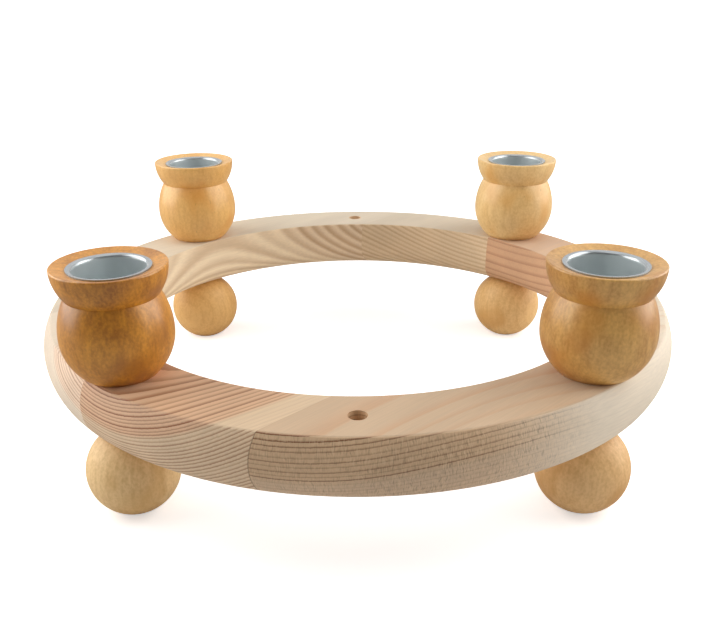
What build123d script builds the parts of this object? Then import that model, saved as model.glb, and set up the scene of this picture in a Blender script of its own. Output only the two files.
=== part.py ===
from build123d import *
import os
from math import cos, radians, sin, sqrt

# An advent candle holder: a flat-topped wooden hoop on four ball feet, with four turned candle cups
# that each hold a lift-out metal insert, and four plug holes for decorations between the cups.
# Millimetres, +Z up, front towards -Y. The origin is on the floor, on the hoop's axis.

# Hoop
ring_top_diameter = 233.6
ring_top_width = 24.2
ring_height = 21.0
outer_belly = 3.1
outer_undercut = 0.7
belly_depth_share = 0.45
inner_belly = 0.7
inner_belly_depth_share = 0.5
outer_lower_round = 6.0
inner_lower_round = 7.4
top_edge_easing = 0.4

# Glue seams of the strips that the hoop is cut from, measured square to the strips from the hoop's axis
strip_angle = 45.0
front_seam_offset = 60.3
middle_seam_offset = 3.8
rear_seam_offset = 62.6

# Stations, each with a cup, an insert, a dowel and a foot on one upright axis
station_angles = {"front_left": 225.0, "front_right": 315.0, "rear_right": 45.0, "rear_left": 135.0}

# Plug holes between the stations
plug_hole_diameter = 6.0
plug_hole_depth = 12.0
plug_hole_count = 4

# Ball feet
foot_ball_diameter = 31.4
foot_base_diameter = 14.0
foot_top_diameter = 10.0

# Metal inserts for standard dinner candles
candle_bore_diameter = 22.2
insert_wall = 0.5
insert_depth = 18.0
insert_bell_round = 1.2
insert_lip_flat = 0.6
insert_corner_round = 1.5
insert_clearance = 0.1
insert_floor_gap = 0.5

# Candle cups
cup_height = 36.2
cup_base_diameter = 23.2
cup_ball_diameter = 35.7
cup_belly_height = 13.6
cup_crease_wall = 2.9
cup_lip_height = 9.95
cup_lip_fullness = 0.95
cup_rim_width = 4.9
cup_rim_dish = 1.5
cup_rim_easing = 0.5
cup_floor_wall = 5.4

# Dowels
dowel_diameter = 6.0
dowel_in_foot = 12.0
dowel_end_chamfer = 0.8
dowel_glue_gap = 0.05
dowel_end_gap = 0.8

# Worked out from the sizes above
ring_outer_radius = ring_top_diameter / 2
ring_inner_radius = ring_outer_radius - ring_top_width
station_radius = (ring_outer_radius + outer_belly + ring_inner_radius - inner_belly) / 2
plug_hole_radius = plug_hole_diameter / 2
plug_circle_radius = (ring_outer_radius + ring_inner_radius) / 2

foot_radius = foot_ball_diameter / 2
foot_belly_height = sqrt(foot_radius**2 - (foot_base_diameter / 2) ** 2)
foot_height = foot_belly_height + sqrt(foot_radius**2 - (foot_top_diameter / 2) ** 2)

ring_bottom = foot_height
ring_top = ring_bottom + ring_height

dowel_hole_radius = dowel_diameter / 2 + dowel_glue_gap

candle_bore_radius = candle_bore_diameter / 2
insert_barrel_radius = candle_bore_radius + insert_wall
insert_lip_radius = candle_bore_radius + insert_bell_round + insert_lip_flat
insert_under_round = insert_bell_round - insert_wall
socket_radius = insert_barrel_radius + insert_clearance
insert_seat_height = cup_height - cup_rim_dish
socket_floor = insert_seat_height - insert_depth - insert_floor_gap
cup_crease_radius = socket_radius + cup_crease_wall
cup_crease_height = cup_height - cup_lip_height
cup_rim_radius = insert_lip_radius + cup_rim_width
dowel_in_cup = socket_floor - cup_floor_wall - dowel_end_gap

os.makedirs("parts", exist_ok=True)


def upright_plane(angle, height):
    """The upright plane at a station, its x pointing away from the hoop's axis and its y up."""
    turn = radians(angle)
    foot_point = (station_radius * cos(turn), station_radius * sin(turn), height)
    return Plane(origin=foot_point, x_dir=(cos(turn), sin(turn), 0), z_dir=(sin(turn), -cos(turn), 0))


def upright_axis(plane):
    """The vertical line through a station."""
    return Axis(plane.origin, (0, 0, 1))


def save(piece, name):
    """Labels a finished piece and writes it under its own name."""
    piece.part.label = name
    export_step(piece.part, f"parts/{name}.step")


# The whole hoop before it is cut into its boards: a barrel-shaped outer face, a nearly straight inner
# face, a flat top with crisp edges and a flat underside with rounded edges
with BuildPart() as hoop:
    with BuildSketch(Plane.XZ) as hoop_section:
        with BuildLine():
            outer_top = (ring_outer_radius, ring_top)
            outer_full = (ring_outer_radius + outer_belly, ring_top - ring_height * belly_depth_share)
            outer_bottom = (ring_outer_radius - outer_undercut, ring_bottom)
            inner_bottom = (ring_inner_radius, ring_bottom)
            inner_full = (ring_inner_radius - inner_belly, ring_top - ring_height * inner_belly_depth_share)
            inner_top = (ring_inner_radius, ring_top)
            ThreePointArc(outer_top, outer_full, outer_bottom)
            Line(outer_bottom, inner_bottom)
            ThreePointArc(inner_bottom, inner_full, inner_top)
            Line(inner_top, outer_top)
        make_face()
        upper_corners = hoop_section.vertices().group_by(Axis.Y)[-1]
        chamfer(upper_corners, length=top_edge_easing)
        lower_corners = hoop_section.vertices().group_by(Axis.Y)[0].sort_by(Axis.X)
        fillet(lower_corners[0], radius=inner_lower_round)
        lower_corners = hoop_section.vertices().group_by(Axis.Y)[0].sort_by(Axis.X)
        fillet(lower_corners[-1], radius=outer_lower_round)
    revolve(axis=Axis.Z)
    with Locations((0, 0, ring_top)):
        with PolarLocations(station_radius, len(station_angles), start_angle=station_angles["rear_right"]):
            Hole(radius=dowel_hole_radius)
        with PolarLocations(plug_circle_radius, plug_hole_count):
            Hole(radius=plug_hole_radius, depth=plug_hole_depth)

# Planes of the glue seams, all along the strips, and one across the strips through the hoop's axis
strip_frame = Plane.XY.rotated((0, 0, strip_angle))
along_strips = strip_frame.x_dir
across_strips = strip_frame.y_dir
front_seam = Plane(origin=across_strips * -front_seam_offset, x_dir=along_strips, z_dir=across_strips)
middle_seam = Plane(origin=across_strips * middle_seam_offset, x_dir=along_strips, z_dir=across_strips)
rear_seam = Plane(origin=across_strips * rear_seam_offset, x_dir=along_strips, z_dir=across_strips)
halving = Plane(origin=(0, 0, 0), x_dir=across_strips, z_dir=along_strips)

# Each board of the hoop, with the cuts that part it from the others and the side of each cut that it keeps
boards = {
    "ring_front_board": ((front_seam, Keep.BOTTOM),),
    "ring_front_left_board": ((front_seam, Keep.TOP), (middle_seam, Keep.BOTTOM), (halving, Keep.BOTTOM)),
    "ring_right_board": ((front_seam, Keep.TOP), (middle_seam, Keep.BOTTOM), (halving, Keep.TOP)),
    "ring_left_board": ((middle_seam, Keep.TOP), (rear_seam, Keep.BOTTOM), (halving, Keep.BOTTOM)),
    "ring_rear_right_board": ((middle_seam, Keep.TOP), (rear_seam, Keep.BOTTOM), (halving, Keep.TOP)),
    "ring_rear_board": ((rear_seam, Keep.TOP),),
}

for board_name, cuts in boards.items():
    with BuildPart() as board:
        add(hoop.part)
        for seam, side in cuts:
            split(bisect_by=seam, keep=side)
    save(board, board_name)

for station_name, station_angle in station_angles.items():
    # Ball foot, turned, flat where it stands and where it meets the hoop, drilled for its dowel from above
    foot_plane = upright_plane(station_angle, 0)
    with BuildPart() as ball_foot:
        with BuildSketch(foot_plane):
            with BuildLine():
                foot_middle = (0, 0)
                foot_base_edge = (foot_base_diameter / 2, 0)
                foot_belly = (foot_radius, foot_belly_height)
                foot_top_edge = (foot_top_diameter / 2, foot_height)
                hole_mouth = (dowel_hole_radius, foot_height)
                hole_corner = (dowel_hole_radius, foot_height - dowel_in_foot - dowel_end_gap)
                hole_middle = (0, foot_height - dowel_in_foot - dowel_end_gap)
                Line(foot_middle, foot_base_edge)
                TangentArc(foot_belly, foot_base_edge, tangent=(0, -1))
                TangentArc(foot_belly, foot_top_edge, tangent=(0, 1))
                Polyline(foot_top_edge, hole_mouth, hole_corner, hole_middle, foot_middle)
            make_face()
        revolve(axis=upright_axis(foot_plane))
    save(ball_foot, f"ball_foot_{station_name}")

    # Dowel, through the hoop and into the foot below and the cup above
    dowel_foot_end = ring_bottom - dowel_in_foot
    dowel_length = dowel_in_foot + ring_height + dowel_in_cup
    dowel_plane = Plane(upright_plane(station_angle, dowel_foot_end).origin)
    with BuildPart() as dowel:
        with BuildSketch(dowel_plane):
            Circle(dowel_diameter / 2)
        extrude(amount=dowel_length)
        chamfer(dowel.edges().filter_by(GeomType.CIRCLE), length=dowel_end_chamfer)
    save(dowel, f"dowel_{station_name}")

    # Candle cup, turned: a ball, a sharp crease and a full flared lip, its top dished down to the seat of the
    # insert and bored for it from above
    cup_plane = upright_plane(station_angle, ring_top)
    with BuildPart() as candle_cup:
        with BuildSketch(cup_plane) as cup_section:
            with BuildLine():
                hole_middle = (0, dowel_in_cup + dowel_end_gap)
                hole_corner = (dowel_hole_radius, dowel_in_cup + dowel_end_gap)
                hole_mouth = (dowel_hole_radius, 0)
                cup_base_edge = (cup_base_diameter / 2, 0)
                cup_belly = (cup_ball_diameter / 2, cup_belly_height)
                cup_crease = (cup_crease_radius, cup_crease_height)
                lip_middle_radius = (cup_crease_radius + cup_rim_radius) / 2 + cup_lip_fullness
                lip_middle = (lip_middle_radius, (cup_crease_height + cup_height) / 2)
                cup_rim = (cup_rim_radius, cup_height)
                seat_edge = (insert_lip_radius + insert_clearance, insert_seat_height)
                mouth_edge = (socket_radius + insert_under_round, insert_seat_height)
                mouth_foot = (socket_radius, insert_seat_height - insert_under_round)
                socket_corner = (socket_radius, socket_floor)
                socket_middle = (0, socket_floor)
                Polyline(hole_middle, hole_corner, hole_mouth, cup_base_edge)
                TangentArc(cup_belly, cup_base_edge, tangent=(0, -1))
                TangentArc(cup_belly, cup_crease, tangent=(0, 1))
                ThreePointArc(cup_crease, lip_middle, cup_rim)
                Polyline(cup_rim, seat_edge, mouth_edge, mouth_foot, socket_corner, socket_middle, hole_middle)
            make_face()
            rim_corner = cup_section.vertices().sort_by_distance(cup_rim)[0]
            fillet(rim_corner, radius=cup_rim_easing)
        revolve(axis=upright_axis(cup_plane))
    save(candle_cup, f"candle_cup_{station_name}")

    # Insert, drawn from sheet: a closed floor, a straight barrel and a bell-mouthed lip that sits in the dish
    insert_plane = upright_plane(station_angle, ring_top + insert_seat_height)
    with BuildPart() as insert:
        with BuildSketch(insert_plane):
            with BuildLine():
                inner_corner_round = insert_corner_round - insert_wall
                floor_under = (0, -insert_depth)
                floor_under_edge = (insert_barrel_radius - insert_corner_round, -insert_depth)
                barrel_foot = (insert_barrel_radius, insert_corner_round - insert_depth)
                barrel_head = (insert_barrel_radius, -insert_under_round)
                lip_seat = (insert_barrel_radius + insert_under_round, 0)
                lip_edge = (insert_lip_radius, 0)
                lip_top_edge = (insert_lip_radius, insert_wall)
                bell_edge = (candle_bore_radius + insert_bell_round, insert_wall)
                bore_head = (candle_bore_radius, insert_wall - insert_bell_round)
                bore_foot = (candle_bore_radius, insert_wall + inner_corner_round - insert_depth)
                floor_edge = (candle_bore_radius - inner_corner_round, insert_wall - insert_depth)
                floor_middle = (0, insert_wall - insert_depth)
                Line(floor_under, floor_under_edge)
                TangentArc(floor_under_edge, barrel_foot, tangent=(1, 0))
                Line(barrel_foot, barrel_head)
                TangentArc(barrel_head, lip_seat, tangent=(0, 1))
                Polyline(lip_seat, lip_edge, lip_top_edge, bell_edge)
                TangentArc(bell_edge, bore_head, tangent=(-1, 0))
                Line(bore_head, bore_foot)
                TangentArc(bore_foot, floor_edge, tangent=(0, -1))
                Polyline(floor_edge, floor_middle, floor_under)
            make_face()
        revolve(axis=upright_axis(insert_plane))
    save(insert, f"candle_insert_{station_name}")
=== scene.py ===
from math import radians

import bpy
from mathutils import Matrix, Vector


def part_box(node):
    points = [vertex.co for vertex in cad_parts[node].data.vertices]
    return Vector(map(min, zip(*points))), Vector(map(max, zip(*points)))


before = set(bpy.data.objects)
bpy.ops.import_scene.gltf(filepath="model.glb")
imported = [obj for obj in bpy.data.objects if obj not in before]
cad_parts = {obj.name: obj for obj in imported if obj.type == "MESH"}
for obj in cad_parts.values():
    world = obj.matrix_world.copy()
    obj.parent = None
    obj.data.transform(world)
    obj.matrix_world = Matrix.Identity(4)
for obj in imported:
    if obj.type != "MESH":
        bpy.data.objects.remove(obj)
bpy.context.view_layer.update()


# The ring: six arcs cut from a panel of pale softwood strips that were glued edge to edge.
# The strips run slantwise, through the front left and the rear right cup, so each arc shows
# its growth rings as lines on one face and as end grain on the next. Sanded, without varnish.
mm = 0.001


def colour(red, green, blue):
    """A colour as it is read off a screen, 0 to 255, in the linear values that shaders use."""
    shares = [level / 255 for level in (red, green, blue)]
    return [s / 12.92 if s <= 0.04045 else ((s + 0.055) / 1.055) ** 2.4 for s in shares] + [1.0]


def place(tree, kind, sockets=None, **options):
    """Adds a shader node. A socket takes another node's output, or a plain value."""
    node = tree.nodes.new(kind)
    for option, choice in options.items():
        setattr(node, option, choice)
    for name, value in (sockets or {}).items():
        if isinstance(value, bpy.types.NodeSocket):
            tree.links.new(value, node.inputs[name])
        else:
            node.inputs[name].default_value = value
    return node


def reckon(tree, operation, first, second=0.0, third=0.0):
    """One step of arithmetic between two values, or three where the step takes them."""
    return place(tree, "ShaderNodeMath", {0: first, 1: second, 2: third}, operation=operation).outputs[0]


def product(tree, *values):
    """Multiplies two or more values."""
    result = values[0]
    for value in values[1:]:
        result = reckon(tree, "MULTIPLY", result, value)
    return result


def spread(tree, first, second):
    """The length of the diagonal over two sides."""
    squares = reckon(tree, "MULTIPLY_ADD", first, first, product(tree, second, second))
    return reckon(tree, "SQRT", squares)


def ramp(tree, value, low, high, start=0.0, end=1.0):
    """Goes smoothly from start to end while the value goes from low to high."""
    limits = {"Value": value, "From Min": low, "From Max": high, "To Min": start, "To Max": end}
    return place(tree, "ShaderNodeMapRange", limits, interpolation_type="SMOOTHSTEP").outputs["Result"]


def blend(tree, share, first, second, mode="MIX"):
    """Mixes two colours by a share."""
    colours = {0: share, 6: first, 7: second}
    return place(tree, "ShaderNodeMix", colours, data_type="RGBA", blend_type=mode).outputs[2]


def new_group(name, inputs, outputs):
    """Starts a shader node group with its sockets, and gives the group and what its inputs bring."""
    group = bpy.data.node_groups.new(name, "ShaderNodeTree")
    for socket, kind in inputs.items():
        group.interface.new_socket(name=socket, in_out="INPUT", socket_type="NodeSocket" + kind)
    for socket, kind in outputs.items():
        group.interface.new_socket(name=socket, in_out="OUTPUT", socket_type="NodeSocket" + kind)
    return group, group.nodes.new("NodeGroupInput").outputs


def noise(tree, position, grains, detail=2.0):
    """Cloudy noise from 0 to 1, whose grains per unit of length differ along the three axes."""
    scaled = place(tree, "ShaderNodeMapping", {"Vector": position, "Scale": grains}).outputs[0]
    cloud = place(tree, "ShaderNodeTexNoise", {"Vector": scaled, "Scale": 1.0, "Detail": detail})
    return cloud.outputs["Fac"]


strip_turn = radians(45)
ring_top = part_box("ring_front_board")[1].z
outer_face_radius = 116.6 * mm
plug_hole_circle = 104.7 * mm
plug_hole_radius = 3.0 * mm
plug_hole_floor = ring_top - 12 * mm

softwood, given = new_group(
    "sanded_softwood",
    {
        "Position": "Vector",
        "Pith Across": "Float",
        "Pith Height": "Float",
        "Drift": "Float",
        "Bow": "Float",
        "Rise": "Float",
        "Wander": "Float",
        "Year Width": "Float",
        "Line Start": "Float",
        "Line End": "Float",
        "Line Strength": "Float",
        "Even Years": "Float",
        "Early Wood": "Color",
        "Late Wood": "Color",
        "Late Wood On Top": "Color",
        "Heart Edge": "Float",
        "Heart Blur": "Float",
        "Sapwood": "Color",
        "Sap Lines": "Float",
        "Cream From": "Float",
        "Cream Wood": "Color",
        "Bleached Top": "Float",
        "Torn Grain": "Float",
        "Seam": "Float",
    },
    {"Color": "Color", "Roughness": "Float", "Height": "Float"},
)

# Turns the position so that X runs along the strip and Y across it.
against_strips = {"Vector": given["Position"], "Rotation": (0, 0, -strip_turn)}
strip_place = place(softwood, "ShaderNodeMapping", against_strips).outputs[0]
strip_axes = place(softwood, "ShaderNodeSeparateXYZ", {0: strip_place}).outputs
along = strip_axes["X"]

# The trunk that the strip was sawn from sways slowly along its length.
sways_per_metre = (9, 22, 22)
slow = place(softwood, "ShaderNodeMapping", {"Vector": strip_place, "Scale": sways_per_metre}).outputs[0]
sway = place(softwood, "ShaderNodeTexNoise", {"Vector": slow, "Scale": 1.0, "Detail": 1.0}).outputs["Color"]
sway = place(softwood, "ShaderNodeSeparateColor", {0: sway}).outputs


def from_pith(axis, pith, slant, bow, swing):
    """How far a point lies from the tree's pith along one axis, with the trunk's slant, bow and sway."""
    leaning = reckon(softwood, "MULTIPLY_ADD", along, bow, slant)
    middle = reckon(softwood, "MULTIPLY_ADD", along, leaning, pith)
    swayed = product(softwood, reckon(softwood, "SUBTRACT", swing, 0.5), given["Wander"])
    return reckon(softwood, "ADD", reckon(softwood, "SUBTRACT", axis, middle), swayed)


across = from_pith(strip_axes["Y"], given["Pith Across"], given["Drift"], given["Bow"], sway["Red"])
upward = from_pith(strip_axes["Z"], given["Pith Height"], given["Rise"], 0.0, sway["Green"])
sanded_top = ramp(softwood, strip_axes["Z"], ring_top - 0.3 * mm, ring_top - 0.05 * mm)


def by_face(on_sides, on_top):
    """A value that differs between the ring's sides and its sanded top."""
    return ramp(softwood, sanded_top, 0.0, 1.0, on_sides, on_top)


# The growth rings wobble finely, least where the top was sanded flat.
wobbles_per_metre = (500, 900, 900)
wobble = reckon(softwood, "SUBTRACT", noise(softwood, strip_place, wobbles_per_metre, 1.0), 0.5)
wobble = product(softwood, wobble, by_face(0.25 * mm, 0.08 * mm))
radius = reckon(softwood, "ADD", wobble, spread(softwood, across, upward))

# Years of fast and slow growth: the pale early wood darkens and ends in a sharp line of late wood.
year_unevenness = 0.4
year = reckon(softwood, "DIVIDE", radius, given["Year Width"])
weather = {"W": year, "Scale": 0.4, "Detail": 0.0}
uneven = place(softwood, "ShaderNodeTexNoise", weather, noise_dimensions="1D").outputs["Fac"]
year = reckon(softwood, "MULTIPLY_ADD", uneven, year_unevenness, year)
season = reckon(softwood, "FRACT", year)
autumn = ramp(softwood, season, given["Line Start"], given["Line End"])
winter = ramp(softwood, season, given["Line End"], 1.0, 1.0, 0.0)
count = {"W": reckon(softwood, "FLOOR", year)}
harvest = place(softwood, "ShaderNodeTexWhiteNoise", count, noise_dimensions="1D").outputs["Value"]
harvest = ramp(softwood, harvest, 0.0, 0.8, given["Even Years"], 1.0)
late = product(softwood, autumn, winter, harvest, given["Line Strength"])
late_wood = blend(softwood, sanded_top, given["Late Wood"], given["Late Wood On Top"])

# Heartwood within a certain reach of the pith, and paler sapwood outside it.
wood = blend(softwood, late, given["Early Wood"], late_wood)
sap_late = product(softwood, late, given["Sap Lines"], by_face(1.0, 0.25))
sap = blend(softwood, sap_late, given["Sapwood"], late_wood)
past_heart = reckon(softwood, "SUBTRACT", radius, given["Heart Edge"])
past_heart = ramp(softwood, reckon(softwood, "DIVIDE", past_heart, given["Heart Blur"]), -0.5, 0.5)
wood = blend(softwood, past_heart, wood, sap)

# Cream wood towards one end of the strip, further along on the top: paler wood with a painted sheen. The top
# also gets a painted sheen.
cream_later_on_top = 32 * mm
cream_late = product(softwood, late, by_face(0.08, 0.4))
cream_with_sheen = blend(softwood, cream_late, given["Cream Wood"], late_wood)
creamy = reckon(softwood, "SUBTRACT", along, given["Cream From"])
creamy = reckon(softwood, "MULTIPLY_ADD", sanded_top, -cream_later_on_top, creamy)
creamy = ramp(softwood, creamy, -22 * mm, 26 * mm)
wood = blend(softwood, creamy, wood, cream_with_sheen)
# Painted sheen: the sanded top is mixed towards a pale grey, by a share set for each board.
painted_top_sheen = product(softwood, sanded_top, given["Bleached Top"])
wood = blend(softwood, painted_top_sheen, wood, colour(208, 196, 177))

# Fibres along the strip, which show as fine streaks on the long grain and as dots on the end grain.
fibres_per_metre = (60, 1700, 1700)
clouds_per_metre = (14, 60, 60)
fibre = noise(softwood, strip_place, fibres_per_metre, 3.0)
cloudy = noise(softwood, strip_place, clouds_per_metre)
fibre_tone = ramp(softwood, fibre, 0.3, 0.7, 0.96, 1.04)
cloud_tone = ramp(softwood, cloudy, 0.3, 0.7, 0.95, 1.05)
tone = product(softwood, fibre_tone, cloud_tone)

# Where the saw ran against the fibres, the outer face keeps short upright marks, as dark pits and
# pale fuzz. They are laid out on the unrolled face, by the bearing in radians and the height.
slants_each_way = (50, 330, 1)
marks_each_way = (370, 400, 1)
patches_each_way = (11, 90, 1)
slant_reach = 0.012
pit_shade = -0.33
fuzz_share = 0.5
plan = place(softwood, "ShaderNodeSeparateXYZ", {0: given["Position"]}).outputs
reach = spread(softwood, plan["X"], plan["Y"])
bearing = reckon(softwood, "ARCTAN2", plan["Y"], plan["X"])
unrolled = place(softwood, "ShaderNodeCombineXYZ", {0: bearing, 1: plan["Z"]}).outputs[0]
slant = noise(softwood, unrolled, slants_each_way, 1.0)
slanting = reckon(softwood, "MULTIPLY_ADD", slant, slant_reach, bearing)
crinkled = place(softwood, "ShaderNodeCombineXYZ", {0: slanting, 1: plan["Z"]}).outputs[0]
marks = noise(softwood, crinkled, marks_each_way, 2.0)
patchy = ramp(softwood, noise(softwood, unrolled, patches_each_way, 1.0), 0.3, 0.62, 0.6, 1.0)
on_outside = ramp(softwood, reach, outer_face_radius, outer_face_radius + 1.0 * mm)
towards_cream = ramp(softwood, along, -112 * mm, -58 * mm, 0.6, 1.0)
before_cream = ramp(softwood, along, -42 * mm, -14 * mm, 1.0, 0.0)
torn = product(softwood, patchy, on_outside, towards_cream, before_cream, given["Torn Grain"])
pits = product(softwood, torn, ramp(softwood, marks, 0.32, 0.48, 1.0, 0.0))
fuzz = product(softwood, torn, ramp(softwood, marks, 0.52, 0.68))
tone = product(softwood, tone, reckon(softwood, "MULTIPLY_ADD", pits, pit_shade, 1.0))
shade = place(softwood, "ShaderNodeCombineColor", {0: tone, 1: tone, 2: tone}).outputs[0]
wood = blend(softwood, 1.0, wood, shade, "MULTIPLY")
wood = blend(softwood, product(softwood, fuzz, fuzz_share), wood, colour(226, 198, 160))

# The walls of the plug holes are painted pale, painted light that brightens their shaded insides.
plan_sizes = [reckon(softwood, "ABSOLUTE", plan[axis]) for axis in ("X", "Y")]
out_to_hole = reckon(softwood, "SUBTRACT", reckon(softwood, "MAXIMUM", *plan_sizes), plug_hole_circle)
from_hole = spread(softwood, out_to_hole, reckon(softwood, "MINIMUM", *plan_sizes))
painted_hole_light = ramp(softwood, from_hole, plug_hole_radius + 0.02 * mm, plug_hole_radius + 0.1 * mm, 0.4, 0.0)
above_floor = ramp(softwood, plan["Z"], plug_hole_floor - 2 * mm, plug_hole_floor - 1 * mm)
wood = blend(softwood, product(softwood, painted_hole_light, above_floor), wood, colour(250, 214, 172))

# The glue line, a hair wide on the sides and hardly seen on the sanded top.
from_seam = reckon(softwood, "ABSOLUTE", reckon(softwood, "SUBTRACT", strip_axes["Y"], given["Seam"]))
glue = ramp(softwood, from_seam, 0.03 * mm, 0.25 * mm, 0.5, 0.0)
glue = product(softwood, glue, by_face(1.0, 0.2))
wood = blend(softwood, glue, wood, colour(96, 66, 42))

# The late wood is smoother and stands a little proud. The torn marks stand out most.
late_smoothness = -0.12
late_relief = 0.05
fibre_relief = 0.5
rough = ramp(softwood, fibre, 0.2, 0.8, 0.55, 0.75)
rough = reckon(softwood, "MULTIPLY_ADD", late, late_smoothness, rough)
relief = reckon(softwood, "MULTIPLY_ADD", late, late_relief, product(softwood, fibre, fibre_relief))
relief = reckon(softwood, "ADD", relief, product(softwood, torn, marks))
place(softwood, "NodeGroupOutput", {"Color": wood, "Roughness": rough, "Height": relief})


def grained_material(name, group, values, bump, **finish):
    """A material whose colour, roughness and relief come from a wood group, on the piece's own place.

    The bump is both the relief's strength and its depth in millimetres.
    """
    material = bpy.data.materials.new(name)
    material.use_nodes = True
    tree = material.node_tree
    surface = tree.nodes["Principled BSDF"]
    where = place(tree, "ShaderNodeTexCoord").outputs["Object"]
    grain = place(tree, "ShaderNodeGroup", node_tree=group)
    for socket, value in values.items():
        grain.inputs[socket].default_value = value
    tree.links.new(where, grain.inputs["Position"])
    tree.links.new(grain.outputs["Color"], surface.inputs["Base Color"])
    tree.links.new(grain.outputs["Roughness"], surface.inputs["Roughness"])
    relief = {"Height": grain.outputs["Height"], "Strength": bump, "Distance": bump * mm}
    tree.links.new(place(tree, "ShaderNodeBump", relief).outputs["Normal"], surface.inputs["Normal"])
    for socket, value in finish.items():
        surface.inputs[socket.replace("_", " ")].default_value = value
    return material


def dress(node, material):
    """Gives a node of the frame its finish."""
    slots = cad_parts[node].data.materials
    slots.clear()
    slots.append(material)


board_bump = 0.25
front_seam = -60.3 * mm
far_off = 1.0
plain_strip = {
    "Drift": 0.0, "Bow": 0.0, "Rise": 0.0, "Wander": 2 * mm,
    "Line Start": 0.5, "Line End": 0.92, "Even Years": 0.6,
    "Heart Edge": far_off, "Heart Blur": 1.4 * mm, "Cream From": far_off,
    "Bleached Top": 0.0, "Torn Grain": 0.0, "Seam": far_off,
}
# Each board sets how much painted sheen greys its top, most on the rear boards.
boards = {
    "ring_front_board": {
        "Pith Across": -85 * mm, "Pith Height": ring_top + 130.8 * mm, "Drift": -0.49, "Bow": -3.0,
        "Year Width": 1.4 * mm, "Line Strength": 1.0, "Even Years": 0.35,
        "Early Wood": colour(207, 173, 136), "Late Wood": colour(123, 76, 43),
        "Late Wood On Top": colour(202, 154, 110), "Bleached Top": 0.24,
        "Heart Edge": 144.5 * mm, "Heart Blur": 4 * mm, "Sapwood": colour(208, 178, 146), "Sap Lines": 0.25,
        "Cream From": -37 * mm, "Cream Wood": colour(227, 211, 188),
        "Torn Grain": 1.0, "Seam": front_seam,
    },
    "ring_front_left_board": {
        "Pith Across": -7 * mm, "Pith Height": ring_top + 53.3 * mm, "Rise": -0.085,
        "Year Width": 1.1 * mm, "Line Start": 0.3, "Line Strength": 1.0,
        "Early Wood": colour(220, 180, 144), "Late Wood": colour(150, 90, 56),
        "Late Wood On Top": colour(162, 114, 80),
        "Heart Edge": 74.8 * mm, "Sapwood": colour(222, 195, 161), "Sap Lines": 0.7,
        "Seam": front_seam,
    },
    "ring_right_board": {
        "Pith Across": -8 * mm, "Pith Height": ring_top + 110 * mm,
        "Year Width": 3.4 * mm, "Line Strength": 0.7,
        "Early Wood": colour(206, 161, 123), "Late Wood": colour(168, 116, 82),
        "Late Wood On Top": colour(196, 152, 118), "Bleached Top": 0.35,
    },
    "ring_left_board": {
        "Pith Across": -7 * mm, "Pith Height": ring_top + 53.3 * mm, "Rise": -0.085,
        "Year Width": 1.15 * mm, "Line Start": 0.3, "Line Strength": 0.8,
        "Early Wood": colour(235, 207, 179), "Late Wood": colour(168, 117, 83),
        "Late Wood On Top": colour(198, 156, 122), "Bleached Top": 0.3,
        "Heart Edge": 74.8 * mm, "Sapwood": colour(233, 215, 191), "Sap Lines": 0.5,
    },
    "ring_rear_right_board": {
        "Pith Across": 0.0, "Pith Height": ring_top + 90 * mm, "Wander": 3 * mm,
        "Year Width": 2.1 * mm, "Line Start": 0.2, "Line End": 0.7, "Line Strength": 0.55,
        "Early Wood": colour(220, 193, 156), "Late Wood": colour(176, 136, 97),
        "Late Wood On Top": colour(212, 184, 152), "Bleached Top": 0.7,
    },
    "ring_rear_board": {
        "Pith Across": 50 * mm, "Pith Height": ring_top + 12 * mm,
        "Year Width": 3.3 * mm, "Line Start": 0.0, "Line End": 0.62, "Line Strength": 0.65,
        "Early Wood": colour(229, 204, 171), "Late Wood": colour(176, 132, 88),
        "Late Wood On Top": colour(220, 194, 162), "Bleached Top": 0.7,
        "Heart Edge": 38 * mm, "Heart Blur": 9 * mm, "Sapwood": colour(240, 217, 182), "Sap Lines": 0.7,
    },
}
for board, look in boards.items():
    values = dict(plain_strip, **look)
    dress(board, grained_material(board + "_wood", softwood, values, board_bump))


# The dowels: plain beech rods, glued through the ring and into the cup above and the foot below.
# The wood round them hides them all over. Feet and cups have the same kind of grain.
hardwood, given = new_group(
    "turned_hardwood",
    {
        "Position": "Vector",
        "Axis": "Vector",
        "Turn": "Float",
        "Pith Offset": "Float",
        "Light Wood": "Color",
        "Dark Wood": "Color",
        "Fleck": "Color",
        "Stain": "Color",
        "Figure": "Float",
        "Streaks": "Float",
        "Wax": "Float",
    },
    {"Color": "Color", "Roughness": "Float", "Height": "Float"},
)


def vector_step(operation, first, second):
    """One step of arithmetic between two places in the turned wood."""
    return place(hardwood, "ShaderNodeVectorMath", {0: first, 1: second}, operation=operation).outputs[0]


# The place within the piece, turned about its axis so that each foot and cup has a grain of its own.
centred = vector_step("SUBTRACT", given["Position"], given["Axis"])
own_turn = {"Vector": centred, "Angle": given["Turn"]}
turned = place(hardwood, "ShaderNodeVectorRotate", own_turn, rotation_type="Z_AXIS").outputs[0]

# The grain flows to and fro instead of running dead straight.
flow_reach = 5 * mm
flow = {"Vector": turned, "Scale": 45.0, "Detail": 1.0}
flowing = place(hardwood, "ShaderNodeTexNoise", flow).outputs["Color"]
flowing = vector_step("SUBTRACT", flowing, (0.5, 0.5, 0.5))
flowing = vector_step("MULTIPLY", flowing, (flow_reach, flow_reach, flow_reach))
swayed = vector_step("ADD", turned, flowing)

# Growth rings round a pith beside the piece.
hardwood_year_width = 2.6 * mm
places = place(hardwood, "ShaderNodeSeparateXYZ", {0: swayed}).outputs
beside = reckon(hardwood, "SUBTRACT", places["X"], given["Pith Offset"])
radius = spread(hardwood, beside, places["Y"])
season = reckon(hardwood, "FRACT", reckon(hardwood, "DIVIDE", radius, hardwood_year_width))
years = product(hardwood, ramp(hardwood, season, 0.2, 0.9), ramp(hardwood, season, 0.92, 1.0, 1.0, 0.0))

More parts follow.
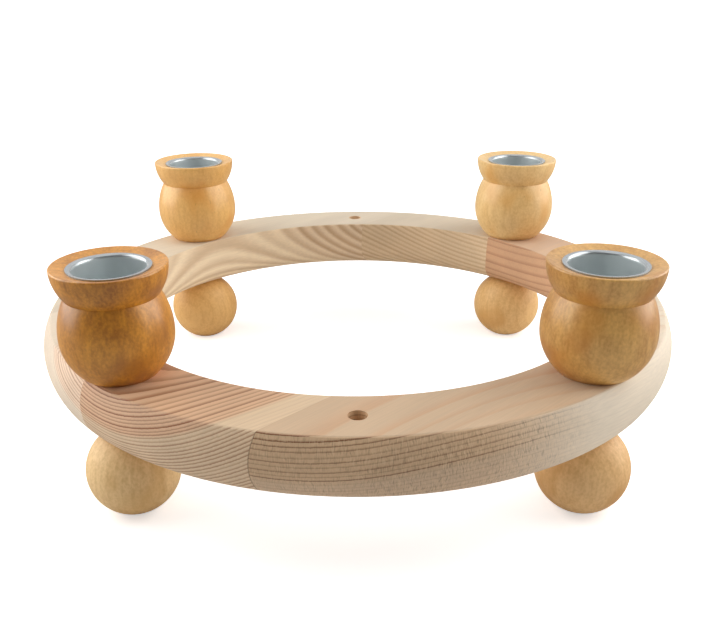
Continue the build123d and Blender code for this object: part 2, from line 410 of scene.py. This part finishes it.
# Rings, mottle, broad clouds, streaks and speckle each shift the wood between light and dark.
mottle = noise(hardwood, turned, (240, 240, 150), 3.0)
speckle = noise(hardwood, turned, (1200, 1200, 900), 2.0)
broad = noise(hardwood, turned, (45, 45, 28), 1.0)
streak = noise(hardwood, swayed, (800, 800, 45), 2.0)
ring_share = 0.16
darker = product(hardwood, years, ring_share, given["Streaks"])
shades = [
    product(hardwood, ramp(hardwood, mottle, 0.3, 0.7, 0.0, 0.6), given["Figure"]),
    product(hardwood, ramp(hardwood, broad, 0.3, 0.7, 0.0, 1.2), given["Figure"]),
    product(hardwood, ramp(hardwood, streak, 0.3, 0.7, -0.1, 0.12), given["Streaks"]),
    ramp(hardwood, speckle, 0.3, 0.7, -0.14, 0.18),
]
for shade in shades:
    darker = reckon(hardwood, "ADD", darker, shade)
wood = blend(hardwood, darker, given["Light Wood"], given["Dark Wood"])

# Patches where the wood took up more colour, and a few short dark pores.
fleck_share = 0.22
stained = ramp(hardwood, noise(hardwood, turned, (60, 60, 45), 2.0), 0.5, 0.72, 0.0, 0.7)
wood = blend(hardwood, stained, wood, given["Stain"])
dashes = ramp(hardwood, noise(hardwood, swayed, (900, 900, 300), 1.0), 0.7, 0.78)
scattered = ramp(hardwood, noise(hardwood, turned, (120, 120, 90), 0.0), 0.5, 0.62)
dashes = product(hardwood, dashes, scattered)
wood = blend(hardwood, product(hardwood, dashes, fleck_share), wood, given["Fleck"])

# Wax makes the wood smoother. The streaks stand proud and the pores are sunk.
bare_roughness = 0.62
waxed_roughness = 0.36
streak_relief = 0.4
pore_relief = 0.6
waxed = ramp(hardwood, given["Wax"], 0.0, 1.0, bare_roughness, waxed_roughness)
rough = reckon(hardwood, "ADD", ramp(hardwood, mottle, 0.25, 0.75, -0.04, 0.05), waxed)
proud = product(hardwood, streak, streak_relief)
relief = reckon(hardwood, "SUBTRACT", proud, product(hardwood, dashes, pore_relief))
place(hardwood, "NodeGroupOutput", {"Color": wood, "Roughness": rough, "Height": relief})


def dress_turned(node, finish_name, look, bump, **finish):
    """Gives a turned piece its own cut of the hardwood, centred on the piece's upright axis."""
    low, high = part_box(node)
    axis = [(low.x + high.x) / 2, (low.y + high.y) / 2, 0.0]
    dress(node, grained_material(finish_name, hardwood, dict(look, Axis=axis), bump, **finish))


stations = ["front_left", "front_right", "rear_right", "rear_left"]
dowel_bump = 0.2
beech = {
    "Light Wood": colour(214, 182, 140), "Dark Wood": colour(180, 138, 96), "Fleck": colour(120, 82, 52),
    "Stain": colour(196, 158, 114), "Figure": 0.3, "Streaks": 1.0, "Wax": 0.0,
    "Pith Offset": 40 * mm, "Turn": 0.0,
}
for station in stations:
    dress_turned("dowel_" + station, "dowel_wood_" + station, beech, dowel_bump, Specular_IOR_Level=0.3)


# The ball feet: turned from pale honey-coloured hardwood and waxed, with a flat at the floor
# and a smaller one where the foot is glued under the ring.
foot_bump = 0.15
honey_wood = {
    "Fleck": colour(128, 84, 44), "Figure": 0.15, "Streaks": 1.0, "Wax": 0.6, "Pith Offset": 45 * mm,
}
foot_looks = {
    "front_left": {
        "Turn": 0.4, "Light Wood": colour(243, 206, 150), "Dark Wood": colour(204, 162, 102),
        "Stain": colour(214, 168, 104),
    },
    "front_right": {
        "Turn": 2.1, "Light Wood": colour(238, 194, 136), "Dark Wood": colour(199, 149, 88),
        "Stain": colour(208, 154, 90),
    },
    "rear_right": {
        "Turn": 3.7, "Light Wood": colour(236, 194, 132), "Dark Wood": colour(202, 152, 87),
        "Stain": colour(214, 160, 90),
    },
    "rear_left": {
        "Turn": 5.2, "Light Wood": colour(228, 181, 114), "Dark Wood": colour(199, 144, 77),
        "Stain": colour(210, 152, 78),
    },
}
for station, look in foot_looks.items():
    foot_look = dict(honey_wood, **look)
    dress_turned("ball_foot_" + station, "foot_wood_" + station, foot_look, foot_bump, Specular_IOR_Level=0.3)


# The candle cups: ball, crease and flared lip turned in one piece from hardwood, coloured a
# honey brown and waxed to a soft warm shine, each glued down on the ring over its dowel.
cup_bump = 0.12
cup_shine = {"Specular_IOR_Level": 1.0, "Specular_Tint": colour(255, 244, 224)}
coloured_wood = {"Fleck": colour(96, 56, 22), "Streaks": 0.6, "Wax": 1.0, "Pith Offset": 45 * mm}
cup_looks = {
    "front_left": {
        "Turn": 1.2, "Light Wood": colour(231, 158, 50), "Dark Wood": colour(160, 95, 16),
        "Stain": colour(155, 87, 8), "Figure": 0.5,
    },
    "front_right": {
        "Turn": 2.9, "Light Wood": colour(226, 175, 98), "Dark Wood": colour(170, 114, 46),
        "Stain": colour(192, 120, 29), "Figure": 0.45,
    },
    "rear_right": {
        "Turn": 4.4, "Light Wood": colour(243, 205, 140), "Dark Wood": colour(208, 161, 95),
        "Stain": colour(222, 164, 84), "Figure": 0.3,
    },
    "rear_left": {
        "Turn": 0.3, "Light Wood": colour(241, 190, 113), "Dark Wood": colour(208, 150, 74),
        "Stain": colour(220, 148, 62), "Figure": 0.3,
    },
}
for station, look in cup_looks.items():
    cup_look = dict(coloured_wood, **look)
    dress_turned("candle_cup_" + station, "cup_wood_" + station, cup_look, cup_bump, **cup_shine)


# The candle inserts: cups drawn from thin sheet metal with a bell-mouthed lip, satin inside,
# that drop into the wooden cups and lift out for cleaning.
insert_metal = bpy.data.materials.new("insert_metal")
insert_metal.use_nodes = True
tree = insert_metal.node_tree
surface = tree.nodes["Principled BSDF"]
where = place(tree, "ShaderNodeTexCoord").outputs["Object"]
drawn = noise(tree, where, (900, 900, 60), 2.0)
cloudy = noise(tree, where, (160, 160, 120), 2.0)
sheet = blend(tree, ramp(tree, cloudy, 0.3, 0.7), colour(217, 223, 223), colour(208, 214, 215))

# The lip is painted darker than the barrel, a painted dimmer reflection, and is polished by the drawing tool.
lip_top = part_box("candle_insert_front_left")[1].z
lip_polish = -0.16
height = place(tree, "ShaderNodeSeparateXYZ", {0: where}).outputs["Z"]
on_lip = ramp(tree, height, lip_top - 1.2 * mm, lip_top - 0.3 * mm)
sheet = blend(tree, on_lip, sheet, colour(170, 175, 177))
tree.links.new(sheet, surface.inputs["Base Color"])
surface.inputs["Metallic"].default_value = 0.65
rough = reckon(tree, "MULTIPLY_ADD", on_lip, lip_polish, ramp(tree, cloudy, 0.3, 0.7, 0.36, 0.42))
tree.links.new(rough, surface.inputs["Roughness"])
relief = {"Height": drawn, "Strength": 0.03, "Distance": 0.03 * mm}
tree.links.new(place(tree, "ShaderNodeBump", relief).outputs["Normal"], surface.inputs["Normal"])
for station in stations:
    dress("candle_insert_" + station, insert_metal)


# The table: a plain white sheet that runs on to the horizon, with the faint shadow of the ring
# on it. The camera sees it as white, and the shine on the pieces mirrors it dimmer.
table_size = 12
mirrored_glow = 0.15


def grey(level):
    """A neutral grey, as a share of white."""
    return (level, level, level, 1.0)


bpy.ops.object.select_all(action="DESELECT")
bpy.ops.mesh.primitive_plane_add(size=table_size, location=(0, 0, 0))
table = bpy.context.object
table.name = "white_table"
paper = bpy.data.materials.new("white_paper")
paper.use_nodes = True
tree = paper.node_tree
tree.nodes.clear()
ray = place(tree, "ShaderNodeLightPath").outputs
mirrored = reckon(tree, "MAXIMUM", ray["Is Glossy Ray"], ray["Is Transmission Ray"])
seen = reckon(tree, "MAXIMUM", ray["Is Camera Ray"], product(tree, mirrored, mirrored_glow))
tone = blend(tree, mirrored, grey(0.9), grey(0.24))
matt = place(tree, "ShaderNodeBsdfDiffuse", {"Color": tone})
where = place(tree, "ShaderNodeTexCoord").outputs["Object"]
from_middle = place(tree, "ShaderNodeVectorMath", {0: where}, operation="LENGTH").outputs["Value"]
glow = product(tree, seen, ramp(tree, from_middle, 0.2, 0.7, 0.5, 1.0))
glow = place(tree, "ShaderNodeEmission", {"Color": grey(1.0), "Strength": glow})
both = place(tree, "ShaderNodeAddShader", {0: matt.outputs[0], 1: glow.outputs[0]})
place(tree, "ShaderNodeOutputMaterial", {"Surface": both.outputs[0]})
table.data.materials.append(paper)


# The studio: an evenly dim room that the camera sees as white, and that the shine mirrors as
# pale behind the object and dark behind the camera. A large soft lamp stands on either side,
# and two weak ones hang behind and above.
room = bpy.data.worlds.new("studio_room")
bpy.context.scene.world = room
room.use_nodes = True
tree = room.node_tree
tree.nodes.clear()
direction = place(tree, "ShaderNodeTexCoord").outputs["Generated"]
heading = place(tree, "ShaderNodeSeparateXYZ", {0: direction}).outputs
behind = ramp(tree, heading["Y"], -0.3, 0.5)
ray = place(tree, "ShaderNodeLightPath").outputs
mirrored = reckon(tree, "MAXIMUM", ray["Is Glossy Ray"], ray["Is Transmission Ray"])
reflected = blend(tree, behind, grey(0.06), grey(0.9))
walls = blend(tree, mirrored, grey(0.2), reflected)
walls = blend(tree, ray["Is Camera Ray"], walls, grey(1.0))
backdrop = place(tree, "ShaderNodeBackground", {"Color": walls})
place(tree, "ShaderNodeOutputWorld", {"Surface": backdrop.outputs[0]})


def soft_lamp(name, spot, aim, width, height, power):
    """A large soft lamp that faces a point of the scene."""
    bpy.ops.object.light_add(type="AREA", location=spot)
    lamp = bpy.context.object
    lamp.name = name
    lamp.rotation_euler = (Vector(aim) - Vector(spot)).to_track_quat("-Z", "Y").to_euler()
    lamp.data.shape = "RECTANGLE"
    lamp.data.size = width
    lamp.data.size_y = height
    lamp.data.energy = power
    lamp.visible_camera = False


for name, side in {"left_lamp": -1, "right_lamp": 1}.items():
    soft_lamp(name, (side * 0.52, 0.04, 0.34), aim=(0, 0, 0.05), width=0.62, height=0.66, power=3.75)
soft_lamp("rear_lamp", (0, 0.55, 0.7), aim=(0, 0, 0.04), width=0.7, height=0.5, power=0.4)
soft_lamp("front_lamp", (0, -0.1, 0.8), aim=(0, 0, 0.04), width=0.5, height=0.5, power=0.8)


# The camera: above the object and almost square to its front, with the lens, the shift and the
# slight turn and roll that the photograph was taken with.
camera_aside = -1.2 * mm
camera_distance = 315.6 * mm
camera_height = 166.2 * mm
camera_turn = radians(0.731)
camera_tilt = radians(66.251)
camera_roll = radians(-0.5615)
bpy.ops.object.camera_add(location=(camera_aside, -camera_distance, camera_height))
camera = bpy.context.object
turn = Matrix.Rotation(camera_turn, 4, "Z")
tilt = Matrix.Rotation(camera_tilt, 4, "X")
roll = Matrix.Rotation(camera_roll, 4, "Z")
camera.rotation_euler = (turn @ tilt @ roll).to_euler()
camera.data.sensor_width = 36
camera.data.lens = 41.62
camera.data.shift_x = 0.0278
camera.data.shift_y = 0.0248
camera.data.clip_start = 0.01
bpy.context.scene.camera = camera
bpy.context.scene.view_settings.view_transform = "Standard"
